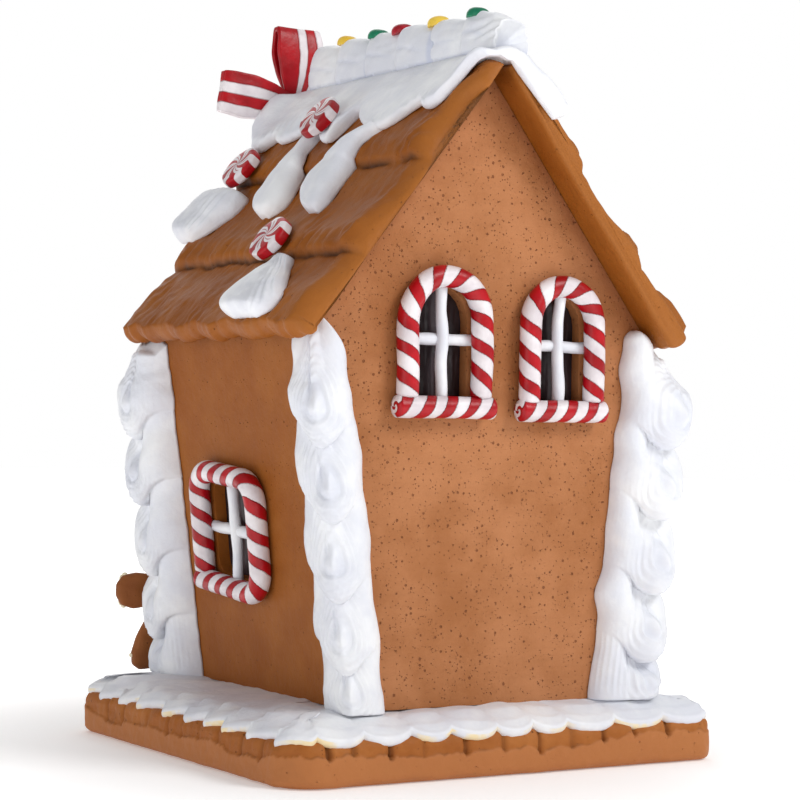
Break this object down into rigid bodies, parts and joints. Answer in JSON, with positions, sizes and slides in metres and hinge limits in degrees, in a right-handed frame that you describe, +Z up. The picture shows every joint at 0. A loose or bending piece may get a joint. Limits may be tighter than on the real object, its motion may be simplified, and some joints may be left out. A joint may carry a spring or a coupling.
{
  "type": "gingerbread house decoration",
  "caption": "Clay-dough gingerbread house ornament on an iced slab: steep tiled roof with icing drips, mints and a bow, arched windows framed in candy rope, icing swirls down the corners.",
  "frame": {"origin": "centre of the slab's underside, which is the centre of the bounding box's bottom face", "axes": "+Z up; -Y is the gable with two arched windows that faces the viewer, -X the side wall to the viewer's left"},
  "size_m": [0.202, 0.19, 0.3136],
  "materials": {
    "gingerbread": "baked clay dough, satin, finely pitted",
    "icing": "satin white clay",
    "candy_red": "semi-gloss, striped red and white",
    "candy_yellow": "semi-gloss",
    "candy_green": "semi-gloss",
    "dark_glass": "dark glossy film behind the windows"
  },
  "bodies": {
    "root": {"arch_far_left": "candy_red", "arch_far_right": "candy_red", "arch_near_left": "candy_red", "arch_near_right": "candy_red", "base_icing": "icing", "base_slab": "gingerbread", "bow_knot": "candy_red", "bow_loop_left": "candy_red", "bow_loop_right": "candy_red", "bow_loop_up": "candy_red", "corner_icing_far_left": "icing", "corner_icing_far_right": "icing", "corner_icing_near_left": "icing", "corner_icing_near_right": "icing", "drop_left_a": "icing", "drop_left_b": "icing", "drop_left_c": "icing", "drop_left_d": "icing", "drop_right_a": "icing", "drop_right_b": "icing", "drop_right_c": "icing", "drop_right_d": "icing", "frame_left": "candy_red", "frame_right": "candy_red", "gingerbread_man": "gingerbread", "mint_left_1": "candy_red", "mint_left_2": "candy_red", "mint_left_3": "candy_red", "mint_right_1": "candy_red", "mint_right_2": "candy_red", "mint_right_3": "candy_red", "muntin_far_left": "icing", "muntin_far_right": "icing", "muntin_left": "icing", "muntin_near_left": "icing", "muntin_near_right": "icing", "muntin_right": "icing", "pane_far": "dark_glass", "pane_left": "dark_glass", "pane_near": "dark_glass", "pane_right": "dark_glass", "ridge_candy_1": "candy_green", "ridge_candy_2": "candy_yellow", "ridge_candy_3": "candy_red", "ridge_candy_4": "candy_green", "ridge_candy_5": "candy_yellow", "ridge_icing": "icing", "ridge_swirl": "icing", "roof_left": "gingerbread", "roof_right": "gingerbread", "sill_far_left": "candy_red", "sill_far_right": "candy_red", "sill_near_left": "candy_red", "sill_near_right": "candy_red", "wall_gable_far": "gingerbread", "wall_gable_near": "gingerbread", "wall_side_left": "gingerbread", "wall_side_right": "gingerbread"}
  },
  "joints": []
}
